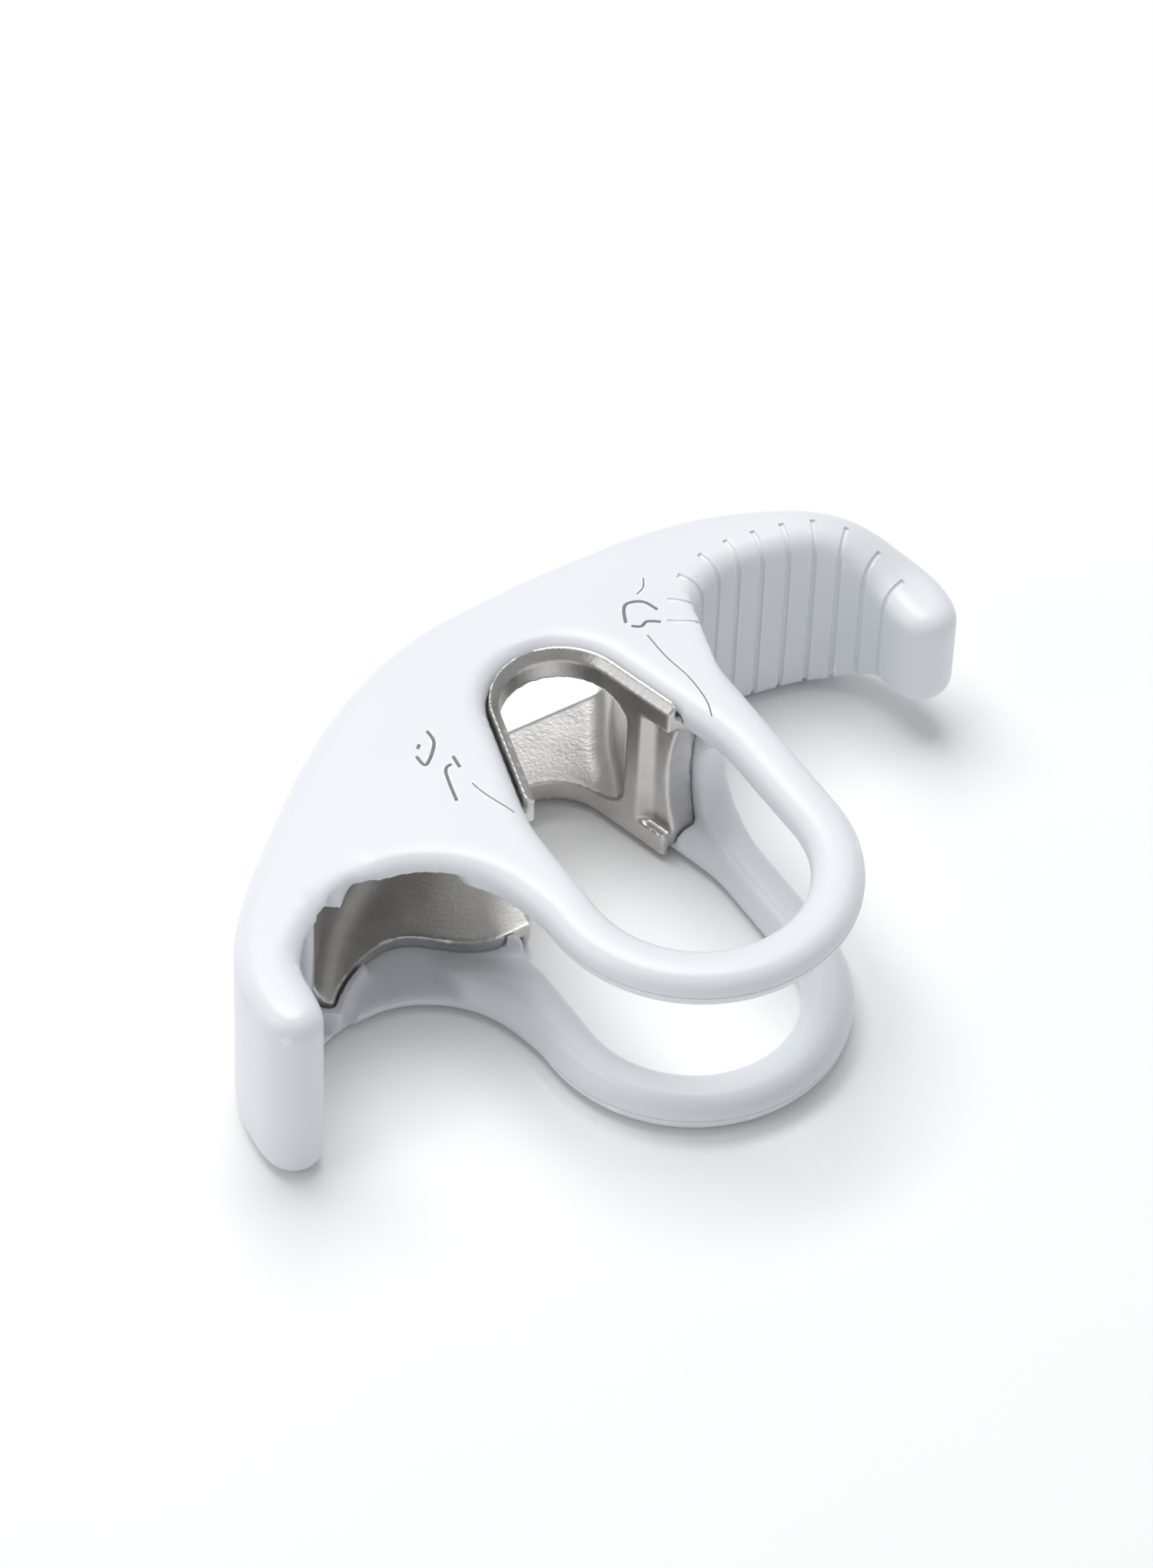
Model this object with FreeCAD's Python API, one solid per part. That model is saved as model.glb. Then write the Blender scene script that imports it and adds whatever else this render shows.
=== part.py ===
"""Assisted-braking belay device: a moulded housing round a cast steel rope channel.

Millimetres, +Z up. The origin is the centre of the round carabiner seat on the
plane midway between the two cheeks. +Y runs from the carabiner loops to the
spine, +X to the thumb grip, and the device is the same above and below z = 0.
"""
import FreeCAD, Part
import math
import os

from FreeCAD import Vector

# ---- rope channel, which sets the thickness of the whole device -------------
ROPE_GAP = 17.0               # between the two steel plates
PLATE_THICKNESS = 1.8
COVER_THICKNESS = 2.3         # moulding over the outside of a plate
CHEEK_STEP = 0.7              # how far the cheeks stand proud inside the steel faces

# ---- reach of the device from the seat's centre -----------------------------
LOOP_LENGTH = 46.2            # to the far side of a carabiner loop
SPINE_REACH = 18.8            # to the back of the spine
GRIP_REACH = 50.4             # to the tip of the thumb grip
HOOK_REACH = 52.1             # to the side of the hook

# ---- carabiner hole --------------------------------------------------------
SEAT_RADIUS = 6.9             # round steel seat the carabiner pulls into
RIM_WIDTH = 1.3               # width of the steel rim round the seat
RIM_SINK = 0.15               # the rim's top lies this far under the cheek's face
RIM_BEVEL = 1.1
LEG_ANGLE = 15.5              # degrees each side that the hole opens out by
LEG_LENGTH = 11.0             # seat centre to the end of the rim's left leg
BRAKE_FRONT = 7.6             # seat centre to the end of its right leg
LOOP_FLARE = 0.7              # the hole widens by this below the rim's left end
LOOP_WIDTH = 6.0              # width of a carabiner loop

# ---- steel insert ----------------------------------------------------------
WALL_THICKNESS = 1.8          # folded side wall of the channel
CHANNEL_ROUND = 3.0           # inside corner of floor and wall
BRAKE_DEPTH = 1.3             # hollow of the brake notch
BRAKE_WIDTH = 3.5             # steel left outside the notch
BRAKE_POCKET = 1.35           # set-back of the wall between the right-hand rim ends
POCKET_BACK = -4.4            # that pocket ends here and runs out over POCKET_RAMP
POCKET_RAMP = 0.8
WALL_END = -1.6               # the straight wall turns outwards here
STEEL_SET_IN = 2.6            # spine left behind the steel
FLARE_START = 15.3            # the rope entry opens out from here
FLARE_SLOPE = 1.2             # height gained for each millimetre of it

# ---- housing ---------------------------------------------------------------
SPINE_ROUND = 2.5             # edges of spine, hook and grip
CHEEK_ROUND = 2.3             # edges of cheeks and loops
FIT_CLEARANCE = 0.15          # round the steel in the housing
LIP_THICKNESS = 1.0           # lip round the open end of the steel trough
LIP_CLEARANCE = 0.25          # between that lip and the steel
LIP_GAP = 1.25                # between that lip and the hook arm
STEP_PLACE = -22.0            # the cheeks are thin from the hook to this step
RAMP_LENGTH = 5.0             # slope of the cheeks in front of the steel
MOAT_FLOOR = 0.9              # housing left under the gap between lip and hook
HOOK_INSIDE = -43.0           # x of the hook arm's inner side, beside the trough
LIP_BACK = -3.0               # y where the trough runs into the spine
LIP_END = -29.0               # x where the lip runs out along the plates
WEB_FRONT = -7.3              # front of the web between the cheeks, at mid-height
GRIP_TIP_HEIGHT = 13.6        # thickness left at the tip of the thumb grip

# ---- worked out from these -------------------------------------------------
ROPE_HALF = ROPE_GAP / 2
PLATE_TOP = ROPE_HALF + PLATE_THICKNESS
HALF = PLATE_TOP + COVER_THICKNESS
GAP_HALF = ROPE_HALF - CHEEK_STEP
RIM_TOP = HALF - RIM_SINK
STEEL_BACK = SPINE_REACH - STEEL_SET_IN
FAR = 80.0                    # well outside the device

# Outlines are drawn for these reaches and stretched to the ones above.
DRAWN_GRIP = 50.4
DRAWN_HOOK = 52.1
NECK = 17.6                   # the body between x = -NECK and NECK isn't stretched


def at(x, y, z=0.0):
    return Vector(x, y, z)


def spline(points):
    """A smooth curve through plan points."""
    curve = Part.BSplineCurve()
    curve.interpolate([at(x, y) for x, y in points])
    return curve.toShape()


def straight(start, end):
    return Part.LineSegment(at(*start), at(*end)).toShape()


def chain(points):
    """Straight edges from each point to the next."""
    return [straight(start, end) for start, end in zip(points[:-1], points[1:])]


def arc(start, middle, end):
    return Part.Arc(at(*start), at(*middle), at(*end)).toShape()


def prism(wire, low, high):
    face = Part.Face(wire)
    face.translate(at(0, 0, low))
    return face.extrude(at(0, 0, high - low))


def edges_at(shape, levels):
    """Edges that lie wholly in one of the horizontal planes."""
    found = []
    for edge in shape.Edges:
        box = edge.BoundBox
        for level in levels:
            if abs(box.ZMin - level) < 0.01 and abs(box.ZMax - level) < 0.01:
                found.append(edge)
    return found


def mirrored(shape):
    return shape.mirror(at(0, 0, 0), at(0, 0, 1))


def box_between(x_range, y_range, z_range):
    size = [high - low for low, high in (x_range, y_range, z_range)]
    return Part.makeBox(*size, at(x_range[0], y_range[0], z_range[0]))


def stretched(points):
    """Outline points moved so that grip and hook have their own reach."""
    moved = []
    for x, y in points:
        if x > NECK:
            x = NECK + (x - NECK) * (GRIP_REACH - NECK) / (DRAWN_GRIP - NECK)
        if x < -NECK:
            x = -NECK + (x + NECK) * (HOOK_REACH - NECK) / (DRAWN_HOOK - NECK)
        moved.append((x, y))
    return moved


# ---- the long carabiner hole ----------------------------------------------
def leg_point(offset, y, side):
    """Plan point on a straight leg that runs tangent to a seat of this radius."""
    slope = math.radians(LEG_ANGLE)
    x = (offset - y * math.sin(slope)) / math.cos(slope)
    return side * x, y


def leg_start(offset, side):
    slope = math.radians(LEG_ANGLE)
    return side * offset * math.cos(slope), offset * math.sin(slope)


HOLE_OFFSET = SEAT_RADIUS + RIM_WIDTH + FIT_CLEARANCE
LOOP_INNER_RADIUS = leg_point(HOLE_OFFSET, -LEG_LENGTH, 1)[0] + LOOP_FLARE
LOOP_OUTER_RADIUS = LOOP_INNER_RADIUS + LOOP_WIDTH
LOOP_CENTRE = LOOP_OUTER_RADIUS - LOOP_LENGTH
BRAKE_SIDE = leg_point(SEAT_RADIUS, -LEG_LENGTH, 1)[0] + BRAKE_WIDTH


def seat_region(offset, low_y):
    """Arch of this radius with its two legs, closed straight across at low_y."""
    left, right = leg_start(offset, -1), leg_start(offset, 1)
    left_end, right_end = leg_point(offset, low_y, -1), leg_point(offset, low_y, 1)
    return Part.Wire([arc(left, (0, offset), right)] + chain([right, right_end, left_end, left]))


def hole_wire():
    """Arch, legs, and the round inside of the loop, as one long hole."""
    offset, inner = HOLE_OFFSET, LOOP_INNER_RADIUS
    leg_x, leg_y = leg_point(offset, -LEG_LENGTH, 1)
    slope = math.radians(LEG_ANGLE)
    blend = LOOP_FLARE / (1 - math.cos(slope))
    side_y = leg_y - blend * math.sin(slope)
    middle = (inner - blend * (1 - math.cos(slope / 2)), side_y + blend * math.sin(slope / 2))
    left, right = leg_start(offset, -1), leg_start(offset, 1)
    edges = [arc(left, (0, offset), right)]
    edges.append(straight(right, (leg_x, leg_y)))
    edges.append(arc((leg_x, leg_y), middle, (inner, side_y)))
    edges.append(straight((inner, side_y), (inner, LOOP_CENTRE)))
    edges.append(arc((inner, LOOP_CENTRE), (0, LOOP_CENTRE - inner), (-inner, LOOP_CENTRE)))
    edges.append(straight((-inner, LOOP_CENTRE), (-inner, side_y)))
    edges.append(arc((-inner, side_y), (-middle[0], middle[1]), (-leg_x, leg_y)))
    edges.append(straight((-leg_x, leg_y), left))
    return Part.Wire(edges)


# ---- outlines of the housing ----------------------------------------------
def spine_edges():
    """The rounded outside of web, thumb grip, spine and hook arm, then the inside."""
    back = SPINE_REACH
    side = LOOP_OUTER_RADIUS
    neck = [(side - 0.8, -14.0), (side - 0.5, -8.0), (side - 0.3, -2.0)]
    grip = [(19.7, 3.4), (23.2, 7.0), (28.0, 8.4), (33.6, 7.8), (38.2, 6.5), (41.2, 3.8),
            (42.6, 0.2)]
    grip_tip = [(42.8, -3.2), (43.9, -6.3), (46.6, -7.4), (49.3, -6.2), (50.4, -3.4)]
    outer = [(50.2, 0.8), (47.8, 5.6), (43.0, 10.4), (36.0, back - 4.2), (27.5, back - 1.2),
             (18.6, back), (8.6, back + 0.2), (0.0, back - 0.2), (-10.6, back - 1.8),
             (-20.2, back - 5.7), (-29.0, 7.4), (-37.4, 0.3), (-45.3, -7.2), (-49.4, -12.6),
             (-51.5, -17.6)]
    hook_tip = [(-52.1, -21.8), (-52.0, -24.2), (-50.9, -26.3), (-48.6, -27.3), (-46.3, -26.4)]
    hook = [(-45.2, -24.0), (-44.8, -20.8), (-43.3, -16.6)]
    outline = neck + stretched(grip + grip_tip + outer + hook_tip + hook)
    hook_inside = stretched([(-42.0, -12.4), (-37.2, -6.0), (-32.8, -2.6)])
    inside = [(-24.0, 3.0), (-14.0, 8.8), (-4.0, 10.4), (6.0, 8.8)]
    inside += [(BRAKE_SIDE - 1.1, 1.0), (BRAKE_SIDE, -6.0), (BRAKE_SIDE, -14.0)]
    return [spline(outline)] + chain([outline[-1]] + hook_inside + inside + [outline[0]])


def cheek_wire():
    """One cheek with its carabiner loop; its far edge lies inside the spine."""
    side = LOOP_OUTER_RADIUS
    hook_end = stretched([(-46.2, -19.6), (-43.2, -16.4), (-39.6, -13.6)])
    middle = [(-35.8, -12.3), (-31.6, -11.9), (-28.2, -12.3), (-25.3, -13.6), (-22.8, -15.5)]
    loop_end = [(-side - 2.4, LOOP_CENTRE + 9.8), (-side - 1.0, LOOP_CENTRE + 6.5),
                (-side - 0.25, LOOP_CENTRE + 3.2), (-side, LOOP_CENTRE)]
    gap_edge = Part.BSplineCurve()
    gap_edge.interpolate([at(x, y) for x, y in hook_end + middle + loop_end],
                         InitialTangent=at(0.75, 0.66), FinalTangent=at(0, -1))
    loop = arc((-side, LOOP_CENTRE), (0, LOOP_CENTRE - side), (side, LOOP_CENTRE))
    back = [(side, LOOP_CENTRE), (side, -2.0), (21.0, 7.0), (24.0, 12.0), (8.6, 15.0),
            (-9.0, 13.6), (-20.0, 9.4), (-32.0, 0.6)]
    back += stretched([(-42.4, -9.4)]) + [hook_end[0]]
    return Part.Wire([gap_edge.toShape(), loop] + chain(back))


# ---- outlines of the steel -------------------------------------------------
WALL_LINE = [(-38.2, -7.8), (-34.5, -2.8), (-29.5, 2.2), (-23.0, 7.0), (-15.5, 11.2),
             (-8.0, 14.6)]
FRONT_LINE = [(-35.4, -10.2), (-33.3, -8.2), (-30.1, -6.3), (-27.0, -5.3), (-24.0, -5.4),
              (-21.2, -7.2), (-18.2, -9.7), (-14.5, -11.1)]
CHANNEL_LINE = [(-40.6, -12.4), (-36.9, -8.6), (-33.3, -4.0), (-28.4, 0.8), (-22.0, 5.4),
                (-14.6, 9.6), (-7.4, 12.9)]


def grown_loop(points, grow):
    """The same anticlockwise loop of points, moved outwards with mitred corners."""
    moved = []
    for index, (x, y) in enumerate(points):
        before = at(*points[index - 1])
        after = at(*points[(index + 1) % len(points)])
        into = (at(x, y) - before).normalize()
        out = (after - at(x, y)).normalize()
        normal_in = at(into.y, -into.x)
        normal_out = at(out.y, -out.x)
        shift = (normal_in + normal_out) * (grow / (1 + normal_in.dot(normal_out)))
        moved.append((x + shift.x, y + shift.y))
    return moved


def steel_wire(grow=0.0):
    """Outline of the plates, grown by a clearance where the housing takes it."""
    front = FRONT_LINE + [leg_point(SEAT_RADIUS + RIM_WIDTH, -LEG_LENGTH, -1)]
    flare = [(BRAKE_SIDE, 1.0), (BRAKE_SIDE + 0.9, 6.0), (BRAKE_SIDE + 3.7, 11.4),
             (BRAKE_SIDE + 4.9, STEEL_BACK)]
    wall = [(-4.6, STEEL_BACK)] + WALL_LINE[::-1]
    across = [(0, -LEG_LENGTH), (0, -BRAKE_FRONT), (BRAKE_SIDE, -BRAKE_FRONT)]
    loop = grown_loop(front + across + flare + wall, grow)
    corner = len(front)
    front = loop[:corner]
    across = loop[corner:corner + len(across)]
    flare = loop[corner + len(across):corner + len(across) + len(flare)]
    wall = loop[-len(WALL_LINE):]
    back_corner = loop[-len(WALL_LINE) - 1]
    edges = [spline(front)] + chain([front[-1]] + across + [flare[0]]) + [spline(flare)]
    edges += chain([flare[-1], back_corner, wall[0]]) + [spline(wall)]
    return Part.Wire(edges + [straight(wall[-1], front[0])])


def channel_wire():
    """The rope channel between the plates, open at the front and at the back."""
    open_back = STEEL_BACK + 8.0
    open_front = -LEG_LENGTH - 6.0
    pocket = SEAT_RADIUS + BRAKE_POCKET
    side = [leg_point(SEAT_RADIUS, WALL_END, 1), leg_point(SEAT_RADIUS, POCKET_BACK + POCKET_RAMP, 1),
            leg_point(pocket, POCKET_BACK, 1), leg_point(pocket, open_front, 1)]
    back_left = (-5.4, open_back)
    back_right = (BRAKE_SIDE + 3.3, open_back)
    flare = [side[0], (BRAKE_SIDE - 4.4, 1.6), (BRAKE_SIDE - 2.7, 5.6), (BRAKE_SIDE + 0.7, 11.2),
             (BRAKE_SIDE + 2.9, STEEL_BACK - 0.2), back_right]
    edges = [spline(CHANNEL_LINE)] + chain([CHANNEL_LINE[-1], back_left, back_right])
    edges += [spline(flare[::-1])]
    edges += chain(side + [(CHANNEL_LINE[0][0], open_front), CHANNEL_LINE[0]])
    return Part.Wire(edges)


def rope_entry():
    """Wedges above and below that open the channel out through the spine."""
    start, end = FLARE_START, SPINE_REACH + 3.0
    top = ROPE_HALF + (end - start) * FLARE_SLOPE
    points = [(start, ROPE_HALF), (end, top), (end, 0.0), (start, 0.0), (start, ROPE_HALF)]
    corners = [at(-5.4, y, z) for y, z in points]
    face = Part.Face(Part.makePolygon(corners))
    wedge = face.extrude(at(BRAKE_SIDE + 3.3 + 5.4, 0, 0))
    return [wedge, mirrored(wedge)]


# ---- the steel insert ------------------------------------------------------
def plate_block(grow=0.0):
    """Outside of both plates and the folded wall, grown by a clearance."""
    half = PLATE_TOP + grow
    block = prism(steel_wire(grow), -half, half)
    folded = [edge for edge in edges_at(block, (-half, half))
              if edge.Length > 30 and edge.BoundBox.YLength > 15]
    return block.makeFillet(WALL_THICKNESS + CHANNEL_ROUND + grow, folded)


def channel():
    """Space for the rope between the plates, with rounded inside corners."""
    space = prism(channel_wire(), -ROPE_HALF, ROPE_HALF)
    sides = [edge for edge in edges_at(space, (-ROPE_HALF, ROPE_HALF))
             if edge.Length > 15 and edge.BoundBox.YLength > 15 and edge.BoundBox.YMin > -13]
    return space.makeFillet(CHANNEL_ROUND, sides)


def rims():
    """Raised rims round the seat on both sides, with rounded ends."""
    outer = prism(seat_region(SEAT_RADIUS + RIM_WIDTH, -LEG_LENGTH), -RIM_TOP, RIM_TOP)
    hole = prism(seat_region(SEAT_RADIUS, -LEG_LENGTH - 1.0), -FAR, FAR)
    ring = outer.cut(hole)
    ring = ring.cut(box_between((0, FAR), (-FAR, -BRAKE_FRONT), (-FAR, FAR)))
    upright = [edge for edge in ring.Edges
               if edge.BoundBox.ZLength > RIM_TOP and edge.BoundBox.YMax < -BRAKE_FRONT + 0.1]
    ring = ring.makeFillet(RIM_WIDTH * 0.45, upright)
    return ring.cut(box_between((-FAR, FAR), (-FAR, FAR), (-ROPE_HALF, ROPE_HALF)))


def bevel_cutters():
    """Cones of the seat's shape that bevel the inside of each rim."""
    low = seat_region(SEAT_RADIUS, -LEG_LENGTH - 2.0)
    high = seat_region(SEAT_RADIUS + RIM_BEVEL, -LEG_LENGTH - 2.0)
    low.translate(at(0, 0, RIM_TOP - RIM_BEVEL))
    high.translate(at(0, 0, RIM_TOP))
    cutter = Part.makeLoft([low, high], True, True)
    return [cutter, mirrored(cutter)]


def brake_notch():
    """Shallow hollow across the end of the thick right-hand wall."""
    radius = (ROPE_HALF ** 2 + BRAKE_DEPTH ** 2) / (2 * BRAKE_DEPTH)
    centre = at(SEAT_RADIUS, -BRAKE_FRONT + BRAKE_DEPTH - radius, 0)
    return Part.makeCylinder(radius, BRAKE_SIDE, centre, at(1, 0, 0))


def brake_insert():
    body = plate_block().cut(channel())
    hole = prism(seat_region(SEAT_RADIUS, -LEG_LENGTH - 8.0), -FAR, FAR)
    body = body.fuse(rims()).cut([hole, brake_notch()] + bevel_cutters() + rope_entry())
    return body.removeSplitter()


# ---- the housing -----------------------------------------------------------
def grip_taper():
    """What the thumb grip loses above, from full thickness to its thin tip."""
    run = at(0.35, -0.94).normalize()
    across = at(-run.y, run.x)
    start = at(*stretched([(33.0, 9.0)])[0])
    tip = GRIP_TIP_HEIGHT / 2
    drop = HALF - tip
    steps = [(-1.0, HALF), (2.0, HALF - drop * 0.04), (5.0, HALF - drop * 0.17),
             (8.5, HALF - drop * 0.48), (12.2, HALF - drop * 0.84), (15.5, tip + drop * 0.04),
             (19.0, tip), (26.0, tip - 0.4)]
    points = [start + run * along + at(0, 0, z) for along, z in steps]
    curve = Part.BSplineCurve()
    curve.interpolate(points, InitialTangent=run, FinalTangent=run)
    far_end = at(points[-1].x, points[-1].y, FAR)
    near_end = at(points[0].x, points[0].y, FAR)
    edges = [curve.toShape(), Part.LineSegment(points[-1], far_end).toShape(),
             Part.LineSegment(far_end, near_end).toShape(),
             Part.LineSegment(near_end, points[0]).toShape()]
    face = Part.Face(Part.Wire(edges))
    face.translate(across * -9.0)
    return face.extrude(across * 40.0)


def spine():
    """Web, grip, spine and hook arm in one band of full thickness."""
    body = prism(Part.Wire(spine_edges()), -HALF, HALF)
    taper = grip_taper()
    body = body.cut([taper, mirrored(taper)])
    outside = sorted(body.Edges, key=lambda edge: -edge.Length)[:2]
    return body.makeFillet(SPINE_ROUND, outside)


def cheek_ramp():
    """Slope from the front edge of the steel plate up to the inside of the cheek."""
    along = at(0.81, -0.58).normalize()
    forward = at(along.y, -along.x)
    start = at(STEP_PLACE - 1.0, -6.2)
    steps = [(-1.0, 0.0), (-1.0, PLATE_TOP), (0.6, PLATE_TOP), (RAMP_LENGTH, GAP_HALF),
             (RAMP_LENGTH, 0.0), (-1.0, 0.0)]
    corners = [start + forward * run + at(0, 0, z) for run, z in steps]
    return Part.Face(Part.makePolygon(corners)).extrude(along * (LOOP_OUTER_RADIUS - 1.0))


def cheek():
    """Upper cheek, rounded along its free edge and round the carabiner hole."""
    plate = prism(cheek_wire(), GAP_HALF, HALF).cut(prism(hole_wire(), -FAR, FAR))
    free = [edge for edge in edges_at(plate, (GAP_HALF, HALF))
            if edge.BoundBox.YMin < -2.1 and edge.BoundBox.XMax > -31.9]
    relief = box_between((HOOK_INSIDE + 0.5, STEP_PLACE), (-FAR, 0.0), (0.0, PLATE_TOP))
    return plate.makeFillet(CHEEK_ROUND, free).cut([relief, cheek_ramp()])


def web_hollow():
    """Round end of the gap between the loops, beside the thumb grip."""
    length = LOOP_OUTER_RADIUS - BRAKE_SIDE + 4.0
    centre = at(BRAKE_SIDE - 2.0, WEB_FRONT - GAP_HALF, 0)
    return Part.makeCylinder(GAP_HALF, length, centre, at(1, 0, 0))


def trough_lip():
    """Thin lip of the housing that wraps the open end of the steel trough."""
    shell = plate_block(LIP_CLEARANCE + LIP_THICKNESS).cut(plate_block(LIP_CLEARANCE))
    open_space = prism(channel_wire(), -ROPE_HALF, ROPE_HALF)
    region = box_between((HOOK_INSIDE - 1.0, LIP_END), (-17.0, LIP_BACK), (-HALF, HALF))
    return shell.common(region).cut(open_space)


def lip_gap():
    """Space between that lip and the hook arm."""
    depth = HALF - MOAT_FLOOR
    outer = box_between((HOOK_INSIDE, LIP_END - 4.0), (-14.5, LIP_BACK), (-depth, depth))
    lip = LIP_CLEARANCE + LIP_THICKNESS
    return plate_block(lip + LIP_GAP).common(outer).cut(plate_block(lip))


def housing():
    """Both cheeks and the spine in one moulding, hollowed for the steel."""
    upper = cheek()
    body = spine().fuse([upper, mirrored(upper)])
    behind = box_between((-FAR, FAR), (SPINE_REACH - 4.0, FAR), (-FAR, FAR))
    body = body.cut([plate_block(FIT_CLEARANCE), channel().common(behind), web_hollow(), lip_gap()])
    body = body.cut(rope_entry())
    body = body.cut(prism(hole_wire(), -FAR, FAR))
    return body.fuse(trough_lip()).removeSplitter()


os.makedirs("parts", exist_ok=True)
for name, maker in (("brake_insert", brake_insert), ("housing", housing)):
    shape = maker()
    print(name, shape.isValid(), len(shape.Solids), round(shape.Volume))
    shape.exportStep("parts/" + name + ".step")
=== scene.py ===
# %% [markdown]
# # A belay device, from its packed design to a finished look
# The design gives two solids: a white moulded housing and the cast steel channel that it
# holds. They are right in shape and size, but every edge is as sharp as the design drew it.
# A real moulding and a real casting have soft edges, fine grain, cut grooves and marks. Each
# step below adds one of these, and the last steps put the device on a pale table.

# %% Load the design
import math

import bpy
from mathutils import Matrix, Vector


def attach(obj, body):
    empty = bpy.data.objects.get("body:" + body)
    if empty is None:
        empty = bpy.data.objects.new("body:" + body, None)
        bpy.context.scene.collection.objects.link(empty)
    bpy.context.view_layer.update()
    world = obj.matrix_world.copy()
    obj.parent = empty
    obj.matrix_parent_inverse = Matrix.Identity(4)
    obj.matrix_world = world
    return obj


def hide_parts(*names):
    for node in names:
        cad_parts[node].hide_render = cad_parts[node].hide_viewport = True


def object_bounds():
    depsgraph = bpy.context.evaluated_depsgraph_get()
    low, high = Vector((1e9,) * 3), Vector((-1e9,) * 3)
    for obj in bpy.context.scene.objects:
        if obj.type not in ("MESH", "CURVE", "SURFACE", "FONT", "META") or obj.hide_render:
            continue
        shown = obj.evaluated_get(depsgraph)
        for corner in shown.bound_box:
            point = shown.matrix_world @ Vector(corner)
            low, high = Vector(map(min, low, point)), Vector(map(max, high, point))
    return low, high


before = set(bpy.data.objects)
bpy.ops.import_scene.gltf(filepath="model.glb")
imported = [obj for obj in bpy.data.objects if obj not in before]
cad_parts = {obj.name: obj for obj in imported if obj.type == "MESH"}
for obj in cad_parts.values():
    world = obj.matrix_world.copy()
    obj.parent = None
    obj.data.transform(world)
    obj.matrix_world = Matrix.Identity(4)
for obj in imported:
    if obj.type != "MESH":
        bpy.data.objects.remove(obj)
design_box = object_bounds()
MM = 0.001
print("design box in mm", [[round(value / MM, 1) for value in corner] for corner in design_box])

# %% [markdown]
# ## Camera
# The camera comes first, because it says which surfaces are seen closest. It looks down at the
# device from the side of the carabiner loops, from well away and through a long lens, so that
# the two cheeks stay nearly parallel.

# %% Camera
LOOK_AT = Vector((-5.56, -11.85, 12.5)) * MM
HEADING = math.radians(-33.7)
ELEVATION = math.radians(47)
ROLL = math.radians(2.4)
DISTANCE = 757.8 * MM
SENSOR_WIDTH = 36
LENS = 158.8
NEAREST_SEEN = 10 * MM

camera = bpy.data.objects.new("camera", bpy.data.cameras.new("camera"))
bpy.context.scene.collection.objects.link(camera)
camera.data.sensor_width = SENSOR_WIDTH
camera.data.lens = LENS
camera.data.clip_start = NEAREST_SEEN
turn = (Matrix.Rotation(HEADING, 4, "Z") @ Matrix.Rotation(math.pi / 2 - ELEVATION, 4, "X")
        @ Matrix.Rotation(ROLL, 4, "Z"))
camera.matrix_world = Matrix.Translation(LOOK_AT + turn @ Vector((0, 0, DISTANCE))) @ turn
bpy.context.scene.camera = camera
print("camera at", [round(value, 3) for value in camera.location])

# %% [markdown]
# ## Working by hand in code
# An operator acts on whatever is selected, so each helper first clears the selection. A
# modifier is applied as soon as it is set, because the next tool has to see its result. The
# design's solids are loose triangles that have to stay as they are, so a piece that needs more
# shape starts as a merged copy.

# %% Small helpers
JOIN_DISTANCE = 0.001 * MM


def select_only(piece):
    bpy.ops.object.select_all(action="DESELECT")
    piece.select_set(True)
    bpy.context.view_layer.objects.active = piece


def apply_modifier(piece, kind, **settings):
    select_only(piece)
    modifier = piece.modifiers.new(kind.lower(), kind)
    for name, value in settings.items():
        setattr(modifier, name, value)
    bpy.ops.object.modifier_apply(modifier=modifier.name)


def merge_points(piece):
    select_only(piece)
    bpy.ops.object.mode_set(mode="EDIT")
    bpy.ops.mesh.select_all(action="SELECT")
    bpy.ops.mesh.remove_doubles(threshold=JOIN_DISTANCE)
    bpy.ops.object.mode_set(mode="OBJECT")


def soften(piece, turns, **settings):
    """Pull each point half-way towards its neighbours, this many times."""
    apply_modifier(piece, "SMOOTH", factor=0.5, iterations=turns, **settings)


def merged_copy(node, name):
    """The node's solid as a new piece, with its loose triangles joined."""
    piece = bpy.data.objects.new(name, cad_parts[node].data.copy())
    piece.data.materials.clear()
    bpy.context.scene.collection.objects.link(piece)
    merge_points(piece)
    return piece


# %% [markdown]
# ## The moulded housing
# The housing is one injection moulding, so no edge of it is sharp: the steel of a mould is
# polished, and flowing plastic doesn't fill a corner fully. Bevels on hundreds of short edges
# would break where three fillets meet. A voxel remesh turns the solid into an even skin of
# small quads instead, and smoothing that skin rounds every edge alike, as polishing does.

# %% Skin of the housing
HOUSING_VOXEL = 0.46 * MM
HOUSING_POLISH = 7

housing = merged_copy("housing", "housing_moulding")
apply_modifier(housing, "REMESH", mode="VOXEL", voxel_size=HOUSING_VOXEL)
soften(housing, HOUSING_POLISH)
print("housing faces", len(housing.data.polygons))

# %% [markdown]
# Where the lip of the trough meets the upper cheek, the design leaves a small ledge. On the
# real moulding the cheek's edge runs past it in one smooth arch, so that corner is polished
# many more times than the rest.

# %% Polish the ledge
LEDGE_LOW = Vector((-39.5, -14.5, 8.8)) * MM
LEDGE_HIGH = Vector((-31.0, -7.5, 12.6)) * MM
LEDGE_POLISH = 60

inside = [point.index for point in housing.data.vertices
          if all(low < value < high
                 for low, value, high in zip(LEDGE_LOW, point.co, LEDGE_HIGH))]
housing.vertex_groups.new(name="ledge").add(inside, 1.0, "REPLACE")
soften(housing, LEDGE_POLISH, vertex_group="ledge")
print("points on the ledge", len(inside))

# %% [markdown]
# ## Finding the surface
# Grooves and marks have to lie exactly on the smoothed skin. Instead of working out where that
# is, a ray is shot at the piece and the point that it hits is used, in millimetres. The rays
# start well outside the device, or in the open space beside the wall that they look for.

# %% Rays
UP = Vector((0, 0, 1))
OUTSIDE = 30


def plan_direction(degrees):
    """Unit vector in the plan, this far round from the X axis."""
    return Vector((math.cos(math.radians(degrees)), math.sin(math.radians(degrees)), 0))


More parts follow.
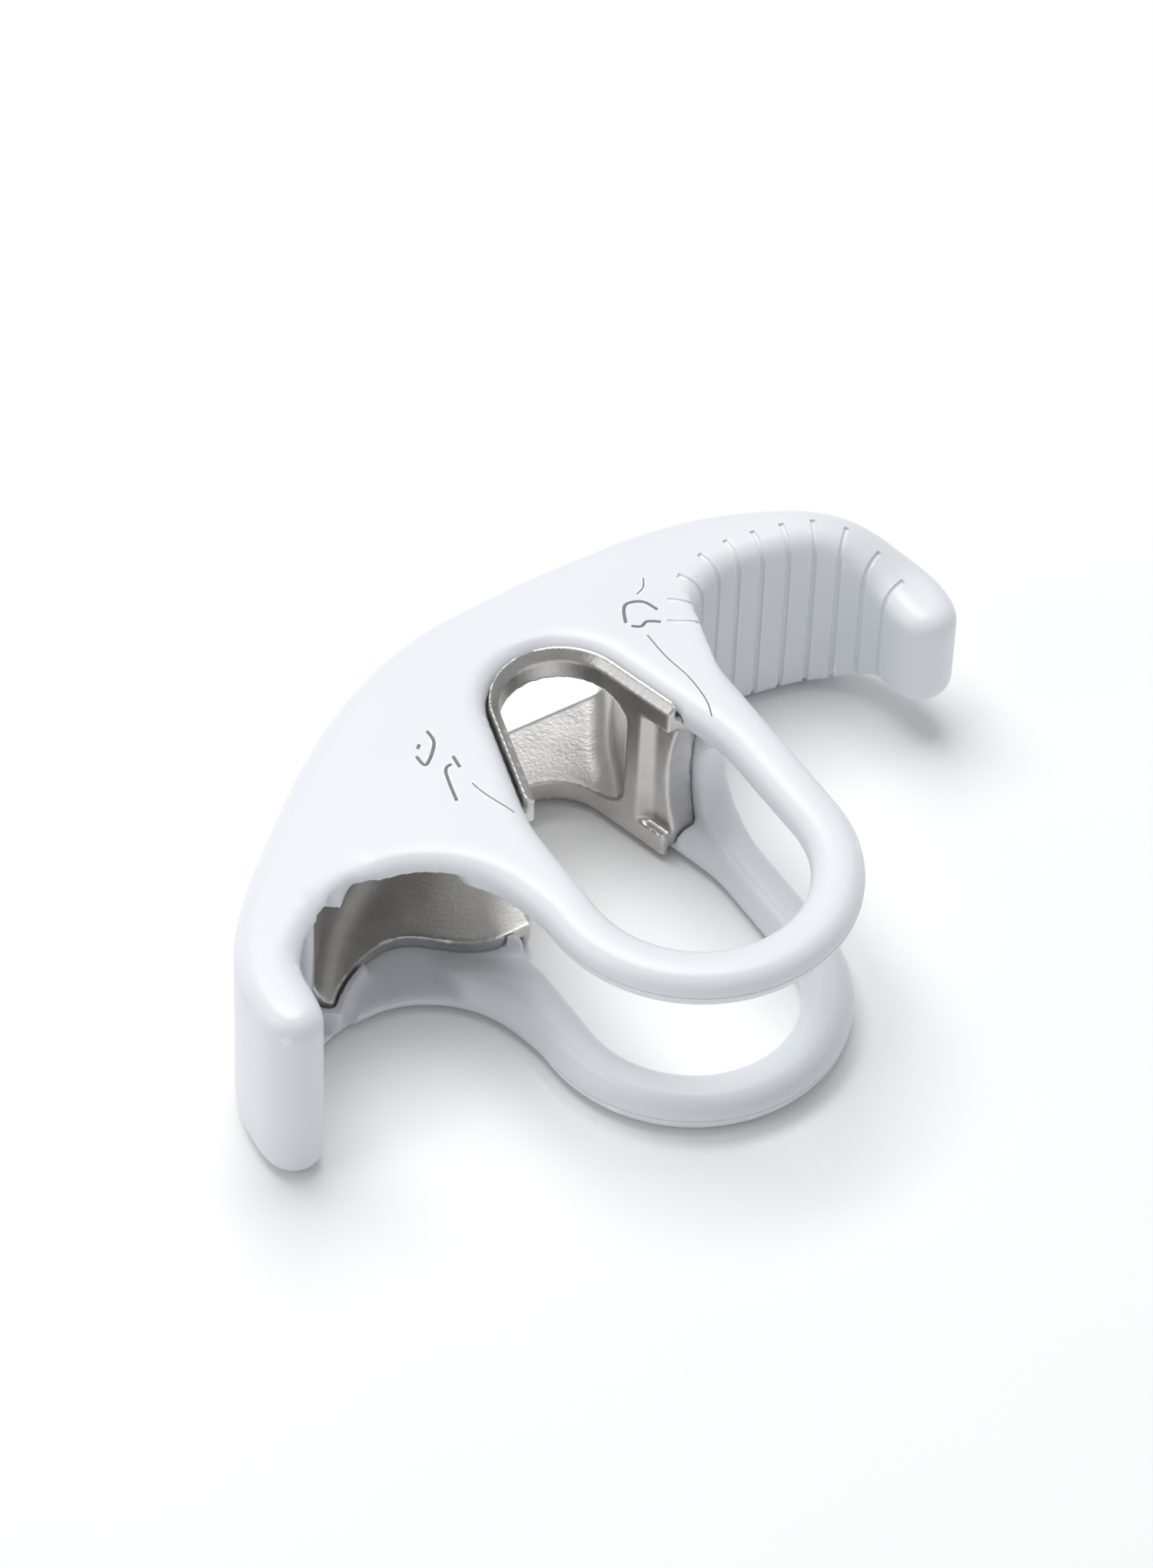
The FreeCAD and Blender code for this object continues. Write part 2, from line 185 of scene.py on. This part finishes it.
def surface_hit(origin, direction):
    hit, place, _, _ = housing.ray_cast(Vector(origin) * MM, Vector(direction))
    if not hit:
        raise ValueError("a ray missed the housing")
    return place / MM


def smooth_path(points, steps=9):
    """A Catmull-Rom curve through plan points, each stretch cut into a few short steps."""
    padded = [points[0]] + list(points) + [points[-1]]
    path = []
    for before, start, end, after in zip(padded, padded[1:], padded[2:], padded[3:]):
        for step in range(steps):
            t = step / steps
            path.append([0.5 * (2 * b + (c - a) * t + (2 * a - 5 * b + 4 * c - d) * t ** 2
                                + (3 * b - a - 3 * c + d) * t ** 3)
                         for a, b, c, d in zip(before, start, end, after)])
    return path + [list(points[-1])]


def cutting_tube(name, path, radius):
    """A closed round tube along a path on the surface."""
    curve = bpy.data.curves.new(name, "CURVE")
    curve.dimensions = "3D"
    curve.bevel_depth = radius * MM
    curve.bevel_resolution = 2
    curve.use_fill_caps = True
    line = curve.splines.new("POLY")
    line.points.add(len(path) - 1)
    for point, place in zip(line.points, path):
        point.co = (*(Vector(place) * MM), 1)
    tube = bpy.data.objects.new(name, curve)
    bpy.context.scene.collection.objects.link(tube)
    select_only(tube)
    bpy.ops.object.convert(target="MESH")
    merge_points(tube)
    bpy.ops.object.mode_set(mode="EDIT")
    bpy.ops.mesh.normals_make_consistent(inside=False)
    bpy.ops.object.mode_set(mode="OBJECT")
    return tube


def cut_away(piece, cutters):
    for cutter in cutters:
        apply_modifier(piece, "BOOLEAN", object=cutter, operation="DIFFERENCE", solver="MANIFOLD")
        bpy.data.objects.remove(cutter)


# %% [markdown]
# ## Thumb grooves
# The thumb pulls against the inside of the grip, which is ribbed by narrow grooves. Each one
# starts on the flat face, runs over the rounded edge, down the wall and back under. The wall is
# found by a fan of rays from the middle of the thumb space, the grooves are set at an even
# pitch along it, and each groove is a tube laid on the surface and cut away. At the root of the
# grip the last two run out on the edge.

# %% Grip wall
THUMB_CENTRE = Vector((31.0, -5.0, 0.0))
FAN_START, FAN_END = 20, 150
GROOVE_PITCH = 3.05
GROOVE_RADIUS = 0.34
FULL_GROOVES = 9
SHORT_GROOVES = 2
SHORT_SHARE = 0.7

fan = [surface_hit(THUMB_CENTRE, plan_direction(degrees)) for degrees in range(FAN_START, FAN_END)]
grip_wall = [fan[0]]
run = 0.0
for before, after in zip(fan, fan[1:]):
    run += (after - before).length
    if run >= GROOVE_PITCH * len(grip_wall):
        grip_wall.append(after)
print("groove places", len(grip_wall), [tuple(round(v, 1) for v in place) for place in grip_wall])


# %% Groove cutters
EDGE_REACH = 2.8          # from the wall back to where the rounded edge starts
RUN_OUT = 3.3             # from the wall back to where the groove ends on the face
SHORT_END = 20            # a short groove stops this many degrees above the wall
WALL_STEPS = 8
CLOSE_OUTSIDE = 4         # inside the thumb space, so that a ray can't start in the far wall


def groove_path(place, outward, lowest_angle):
    """Points on the surface from the top face over the edge towards the wall."""
    top = surface_hit(place - outward * RUN_OUT + UP * OUTSIDE, -UP)
    path = [top, surface_hit(place - outward * EDGE_REACH + UP * OUTSIDE, -UP)]
    centre = place - outward * EDGE_REACH + UP * (top.z - EDGE_REACH)
    for degrees in range(75, lowest_angle, -15):
        ray = outward * math.cos(math.radians(degrees)) + UP * math.sin(math.radians(degrees))
        path.append(surface_hit(centre + ray * 2 * CLOSE_OUTSIDE, -ray))
    return path


def full_groove(place, outward):
    """A groove over the upper edge, down the wall and back under the lower edge."""
    upper = groove_path(place, outward, 0)
    height = upper[-1].z
    wall = []
    for step in range(1, WALL_STEPS):
        level = height * (1 - 2 * step / WALL_STEPS)
        wall.append(surface_hit(place + outward * CLOSE_OUTSIDE + UP * level, -outward))
    lower = [Vector((point.x, point.y, -point.z)) for point in upper]
    return upper + wall + lower[::-1]


grooves = []
places = grip_wall[:FULL_GROOVES + SHORT_GROOVES]
for index, place in enumerate(places):
    before = grip_wall[max(index - 1, 0)]
    after = grip_wall[min(index + 1, len(grip_wall) - 1)]
    along = (after - before).normalized()
    outward = Vector((-along.y, along.x, 0))
    if outward.dot(THUMB_CENTRE - place) < 0:
        outward = -outward
    if index < FULL_GROOVES:
        grooves.append(cutting_tube(f"groove_{index}", full_groove(place, outward), GROOVE_RADIUS))
    else:
        short = groove_path(place, outward, SHORT_END)
        grooves.append(cutting_tube(f"groove_{index}", short, GROOVE_RADIUS * SHORT_SHARE))
cut_away(housing, grooves)
print("after grooves", len(housing.data.polygons))

# %% [markdown]
# ## Parting lines
# The two halves of the mould meet half-way up the edge of each carabiner loop, and leave a
# hair-thin line there. Rays shot at the loop from outside, in a half circle, find its edge.

# %% Parting lines
LOOP_MIDDLE = Vector((0.0, -27.8, 0.0))
LOOP_EDGE_HEIGHT = 10.2
PARTING_RADIUS = 0.09


def loop_edge(height):
    middle = LOOP_MIDDLE + UP * height
    return [surface_hit(middle + plan_direction(degrees) * OUTSIDE, -plan_direction(degrees))
            for degrees in range(185, 356, 3)]


cut_away(housing, [cutting_tube("parting_line", loop_edge(height), PARTING_RADIUS)
                   for height in (-LOOP_EDGE_HEIGHT, LOOP_EDGE_HEIGHT)])
print("after parting lines", len(housing.data.polygons))

# %% [markdown]
# ## Engraved marks
# Two small plain drawings on the upper cheek tell which rope end goes to the climber and which
# goes to the braking hand. They are drawn here as a few generic strokes, dropped onto the
# cheek and cut as shallow round grooves. They hold no lettering. Grey ink lies in the grooves,
# a thread of it along each path, a little below the surface.

# %% Marks
MARK_RADIUS = 0.2
LINE_RADIUS = 0.1

MARKS = {
    "climber_arm": [(-18.6, 0.5), (-18.3, -1.1), (-15.9, 1.2), (-15.6, 3.2)],
    "climber_head": [(-17.9, 1.4), (-17.4, 1.9)],
    "climber_body": [(-15.3, -3.3), (-15.1, -1.5)],
    "climber_leg": [(-15.9, -2.4), (-17.0, -3.1), (-18.2, -7.4)],
    "hand_back": [(12.2, 6.2), (13.2, 8.2), (14.2, 8.7), (15.7, 8.0), (16.4, 6.2)],
    "hand_palm": [(12.5, 5.5), (13.4, 4.9), (14.4, 5.2), (15.7, 4.4)],
}
ROPE_LINES = {
    "climber_rope": [(-15.4, -6.0), (-14.9, -8.4), (-13.6, -12.0)],
    "hand_rope": [(13.3, 3.4), (13.3, -0.4), (13.8, -4.4), (13.6, -8.2), (12.9, -10.6)],
    "hand_turn": [(15.7, 9.4), (16.9, 10.0), (17.7, 11.2)],
}

INK_DEPTH = 0.1           # from the cheek down to the middle of the ink
INK_SHARE = 0.8           # ink radius as a share of its groove's


def surface_path(points):
    return [surface_hit((x, y, OUTSIDE), -UP) for x, y in smooth_path(points)]


mark_paths = [(name, surface_path(points), MARK_RADIUS) for name, points in MARKS.items()]
mark_paths += [(name, surface_path(points), LINE_RADIUS) for name, points in ROPE_LINES.items()]
cut_away(housing, [cutting_tube(name, path, radius) for name, path, radius in mark_paths])

ink_lines = []
for name, path, radius in mark_paths:
    sunk = [place - UP * INK_DEPTH for place in path]
    ink_lines.append(cutting_tube("ink_" + name, sunk, radius * INK_SHARE))
select_only(ink_lines[0])
for line in ink_lines[1:]:
    line.select_set(True)
bpy.ops.object.join()
ink = bpy.context.active_object
ink.name = "grey_ink"
print("after marks", len(housing.data.polygons))

# %% [markdown]
# ## The cast steel channel
# The steel is cast and then tumbled with small stones, which rounds its edges by less than half
# a millimetre and leaves a fine satin grain. It gets the same remesh and smoothing as the
# housing, with a smaller voxel and fewer turns, so its edges stay crisper.

# %% Skin of the steel
STEEL_VOXEL = 0.275 * MM
STEEL_POLISH = 5

steel = merged_copy("brake_insert", "steel_channel")
apply_modifier(steel, "REMESH", mode="VOXEL", voxel_size=STEEL_VOXEL)
soften(steel, STEEL_POLISH)
print("steel faces", len(steel.data.polygons))


# %% [markdown]
# ## Finishes
# Both finishes read Object coordinates, so their grain stays on the surface at its real size.
# Each has a slow cloud that varies colour and gloss, about a centimetre wide on the plastic and
# a few millimetres on the steel, a fine grain for the bump, and lighter edges, found from how
# sharply the surface bends: partly the wear of a hand or a rope, partly a painted highlight.


# %% Node helpers
def new_material(name):
    material = bpy.data.materials.new(name)
    material.use_nodes = True
    nodes = material.node_tree.nodes
    return nodes, material.node_tree.links, nodes["Principled BSDF"], material


def add_noise(nodes, links, scale, detail):
    place = nodes.new("ShaderNodeTexCoord")
    noise = nodes.new("ShaderNodeTexNoise")
    noise.inputs["Scale"].default_value = scale
    noise.inputs["Detail"].default_value = detail
    links.new(place.outputs["Object"], noise.inputs["Vector"])
    return noise.outputs["Fac"]


def add_range(nodes, links, source, low, high, from_low=0.0, from_high=1.0):
    spread = nodes.new("ShaderNodeMapRange")
    spread.inputs["From Min"].default_value = from_low
    spread.inputs["From Max"].default_value = from_high
    spread.inputs["To Min"].default_value = low
    spread.inputs["To Max"].default_value = high
    links.new(source, spread.inputs["Value"])
    return spread.outputs["Result"]


def add_mix(nodes, links, factor, first, second):
    mix = nodes.new("ShaderNodeMix")
    mix.data_type = "RGBA"
    links.new(factor, mix.inputs["Factor"])
    for socket, colour in (("A", first), ("B", second)):
        if isinstance(colour, tuple):
            mix.inputs[socket].default_value = (*colour, 1)
        else:
            links.new(colour, mix.inputs[socket])
    return mix.outputs["Result"]


def add_bump(nodes, links, height, strength, distance, shader):
    bump = nodes.new("ShaderNodeBump")
    bump.inputs["Strength"].default_value = strength
    bump.inputs["Distance"].default_value = distance * MM
    links.new(height, bump.inputs["Height"])
    links.new(bump.outputs["Normal"], shader.inputs["Normal"])


def add_edge_mask(nodes, links, low, high):
    """0 on flat faces, 1 on outer edges."""
    bend = nodes.new("ShaderNodeNewGeometry")
    return add_range(nodes, links, bend.outputs["Pointiness"], 0.0, 1.0, low, high)


# %% White moulding
PLASTIC_LOW = (0.76, 0.79, 0.83)
PLASTIC_HIGH = (0.80, 0.825, 0.86)
# Colour of sharp edges: partly rubbed wear, partly a painted highlight on the rounding.
PLASTIC_WORN_AND_HIGHLIT = (0.87, 0.885, 0.905)


def white_moulding():
    nodes, links, shader, material = new_material("white_moulding")
    cloud = add_noise(nodes, links, 70, 3)
    tint = add_mix(nodes, links, cloud, PLASTIC_LOW, PLASTIC_HIGH)
    # Sharp edges are painted lighter: partly wear, partly a painted highlight on the rounding.
    edge_wear_and_highlight = add_edge_mask(nodes, links, 0.53, 0.60)
    links.new(add_mix(nodes, links, edge_wear_and_highlight, tint, PLASTIC_WORN_AND_HIGHLIT), shader.inputs["Base Color"])
    links.new(add_range(nodes, links, cloud, 0.28, 0.40), shader.inputs["Roughness"])
    add_bump(nodes, links, add_noise(nodes, links, 3500, 2), 0.1, 0.02, shader)
    return material


# %% Grey of the marks
def grey_mark():
    _, _, shader, material = new_material("grey_mark")
    shader.inputs["Base Color"].default_value = (0.22, 0.23, 0.25, 1)
    shader.inputs["Roughness"].default_value = 0.6
    return material


# %% Tumbled steel
STEEL_LOW = (0.46, 0.45, 0.435)
STEEL_HIGH = (0.72, 0.705, 0.685)
# Colour of sharp edges: partly rubbed by the rope, partly a painted highlight on the rims.
STEEL_RUBBED_AND_HIGHLIT = (0.86, 0.855, 0.84)


def tumbled_steel():
    nodes, links, shader, material = new_material("tumbled_steel")
    shader.inputs["Metallic"].default_value = 1.0
    cloud = add_noise(nodes, links, 260, 6)
    tint = add_mix(nodes, links, cloud, STEEL_LOW, STEEL_HIGH)
    # Sharp edges are painted lighter: partly rope wear, partly a painted highlight on the rims.
    edge_wear_and_highlight = add_edge_mask(nodes, links, 0.52, 0.60)
    links.new(add_mix(nodes, links, edge_wear_and_highlight, tint, STEEL_RUBBED_AND_HIGHLIT), shader.inputs["Base Color"])
    links.new(add_range(nodes, links, cloud, 0.24, 0.42), shader.inputs["Roughness"])
    add_bump(nodes, links, add_noise(nodes, links, 1900, 4), 0.8, 0.04, shader)
    return material


EDGE_ANGLE = math.radians(40)

for piece, node, slot, material in ((housing, "housing", "white_moulding", white_moulding()),
                                    (steel, "brake_insert", "cast_steel", tumbled_steel())):
    piece.data.materials.clear()
    piece.data.materials.append(material)
    select_only(piece)
    bpy.ops.object.shade_smooth_by_angle(angle=EDGE_ANGLE)
    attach(piece, "root")
    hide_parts(node)
    print(piece.name, "triangles", sum(len(face.vertices) - 2 for face in piece.data.polygons))

ink.data.materials.append(grey_mark())
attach(ink, "root")

# %% [markdown]
# ## Table and light
# The table is a plain pale plane under the lower cheek. One large soft light hangs over and
# behind the device, so its flat cheeks are bright and the walls that face the camera are a
# shade darker. A pale world fills the shadows, with a small light at the hook's side.

# %% Table
TABLE_SIZE = 6.0
TABLE_GAP = 0.1 * MM
TABLE_LOW = (0.95, 0.95, 0.95)
TABLE_HIGH = (0.965, 0.965, 0.965)

bpy.ops.object.select_all(action="DESELECT")
table_height = design_box[0][2] - TABLE_GAP
bpy.ops.mesh.primitive_plane_add(size=TABLE_SIZE, location=(0, 0, table_height))
table = bpy.context.active_object
table.name = "table"
nodes, links, shader, paint = new_material("pale_table")
shader.inputs["Roughness"].default_value = 0.9
cloud = add_noise(nodes, links, 30, 2)
tint = add_mix(nodes, links, cloud, TABLE_LOW, TABLE_HIGH)
links.new(tint, shader.inputs["Base Color"])
table.data.materials.append(paint)


# %% Light
def soft_box(name, place, size, power):
    """An area light that looks at the device."""
    light = bpy.data.lights.new(name, "AREA")
    light.shape = "RECTANGLE"
    light.size, light.size_y = size
    light.energy = power
    lamp = bpy.data.objects.new(name, light)
    bpy.context.scene.collection.objects.link(lamp)
    lamp.location = place
    lamp.rotation_euler = (-Vector(place)).to_track_quat("-Z", "Y").to_euler()


WORLD_COLOUR = (0.97, 0.985, 1.0, 1)
WORLD_STRENGTH = 0.40

world = bpy.data.worlds.new("studio")
bpy.context.scene.world = world
world.use_nodes = True
background = world.node_tree.nodes["Background"]
background.inputs["Color"].default_value = WORLD_COLOUR
background.inputs["Strength"].default_value = WORLD_STRENGTH
soft_box("top_light", place=(0.0, 0.25, 0.8), size=(0.6, 0.6), power=5.5)
soft_box("left_light", place=(-0.8, 0.1, 0.4), size=(0.4, 0.6), power=1.0)
bpy.context.scene.view_settings.view_transform = "Standard"
